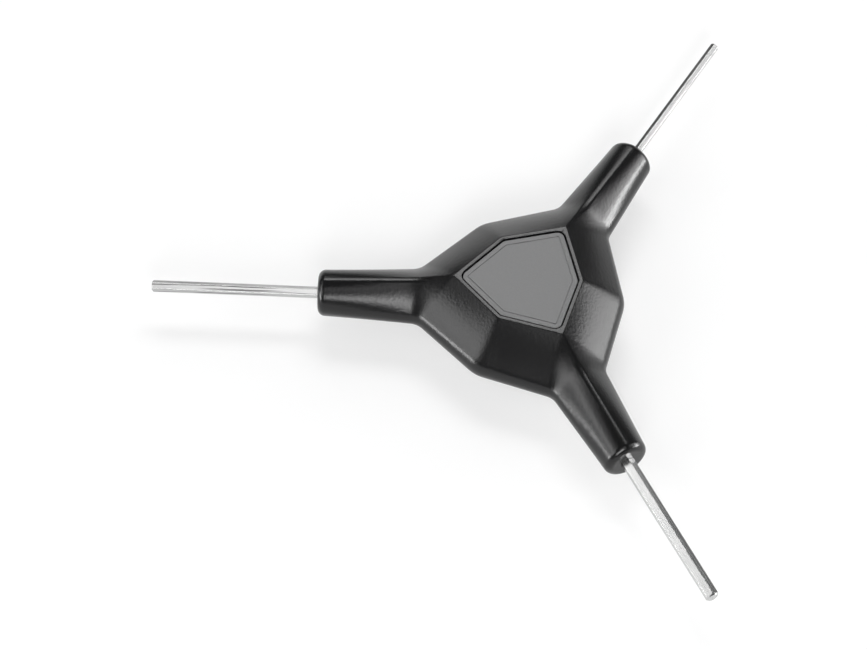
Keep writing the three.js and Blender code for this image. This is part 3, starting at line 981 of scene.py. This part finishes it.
rays = add_node(floor_paint, "LightPath", {}).outputs
seen = add_node(floor_paint, "Math", {0: rays["Is Camera Ray"], 1: rays["Is Glossy Ray"]}, operation="MAXIMUM")
seen = add_node(floor_paint, "Math", {0: seen.outputs[0], 1: rays["Is Transmission Ray"]}, operation="MAXIMUM")
share = add_node(floor_paint, "Math", {0: seen.outputs[0], 1: GLOW_SHARE}, operation="MULTIPLY")
glow = add_node(floor_paint, "Emission", {"Color": (1, 1, 1, 1), "Strength": 1.0})
sheet = add_node(
    floor_paint,
    "MixShader",
    {0: share.outputs[0], 1: floor_shader.outputs["BSDF"], 2: glow.outputs["Emission"]},
)
connect(floor_paint, sheet.outputs["Shader"], floor_paint.node_tree.nodes["Material Output"], "Surface")
cover(floor, floor_paint)
floor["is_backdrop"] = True
print("floor laid")

# %% [markdown]
# ### Light
# Black plastic shows mostly what it reflects, so the softboxes are placed by where each facet
# looks. Their strength is given as a radiance, where one is white, because that is what a facet
# then mirrors. Together they light a level white sheet to about white.

# %% Softboxes
LAMP_DISTANCE = 1.05


def softbox(name, azimuth, elevation, size, radiance):
    """A soft rectangular lamp that looks at the hub, from a direction round it."""
    turn, rise = math.radians(azimuth), math.radians(elevation)
    away = Vector((math.cos(turn) * math.cos(rise), math.sin(turn) * math.cos(rise), math.sin(rise)))
    lamp_data = bpy.data.lights.new(name, "AREA")
    lamp_data.shape = "RECTANGLE"
    lamp_data.size, lamp_data.size_y = size
    lamp_data.energy = radiance * math.pi * size[0] * size[1]
    lamp = bpy.data.objects.new(name, lamp_data)
    bpy.context.collection.objects.link(lamp)
    lamp.location = hub + away * LAMP_DISTANCE
    lamp.rotation_euler = away.to_track_quat("Z", "Y").to_euler()
    lamp.visible_camera = False


softbox("right_strip", 357, 5, (0.42, 0.18), 27)
softbox("right_box", 13, 13, (0.34, 0.46), 8.3)
softbox("right_edge", 27, 9, (0.14, 0.3), 3.5)
softbox("right_high", 2, 33, (0.56, 0.27), 1.8)
softbox("left_strip", 204, 4, (0.5, 0.18), 16)
softbox("left_box", 202, 16, (0.54, 0.22), 3.2)
softbox("left_high", 197, 31, (0.66, 0.27), 4.5)
softbox("left_edge", 220, 36, (0.18, 0.27), 2)
softbox("left_top", 172, 45, (0.4, 0.28), 1.6)
softbox("front_top", 271, 64, (0.5, 0.3), 1.8)
softbox("front_high", 279, 42, (0.27, 0.27), 13)
softbox("front_low", 266, 30, (0.25, 0.27), 12)
softbox("back_right", 60, 11, (0.24, 0.22), 1)
softbox("back_high", 90, 55, (0.68, 0.3), 6.6)
softbox("back_box", 97, 38, (0.45, 0.3), 2)
print("lights on")

# %% [markdown]
# ### The room
# The room is dim, which keeps the facets between the lamps dark, but low down it is white, so
# that a view from the side ends in a pale backdrop. The height of a direction above the horizon is
# the Z part of the world's own coordinates.

# %% Dim room with a pale foot
AMBIENT = 0.05
PALE_UP_TO = math.sin(math.radians(1))
DIM_FROM = math.sin(math.radians(5))
world = bpy.data.worlds.new("studio")
world.use_nodes = True
direction = add_node(world, "TexCoord", {})
parts = add_node(world, "SeparateXYZ", {"Vector": direction.outputs["Generated"]})
strength = add_node(
    world,
    "MapRange",
    {"Value": parts.outputs["Z"], "From Min": PALE_UP_TO, "From Max": DIM_FROM, "To Min": 1.0, "To Max": AMBIENT},
)
background = world.node_tree.nodes["Background"]
background.inputs["Color"].default_value = (1, 1, 1, 1)
connect(world, strength.outputs["Result"], background, "Strength")
bpy.context.scene.world = world
bpy.context.scene.view_settings.view_transform = "Standard"
print("room ready")

# %% [markdown]
# ## Check the size
# The looks must not outgrow the solids, so the largest difference between their boxes is printed.

# %% Compare the sizes
low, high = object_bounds()
differences = [abs(drawn - solid) for drawn, solid in zip([*low, *high], [*cad_low, *cad_high])]
print(f"largest difference {max(differences) / MM:.3f} mm")
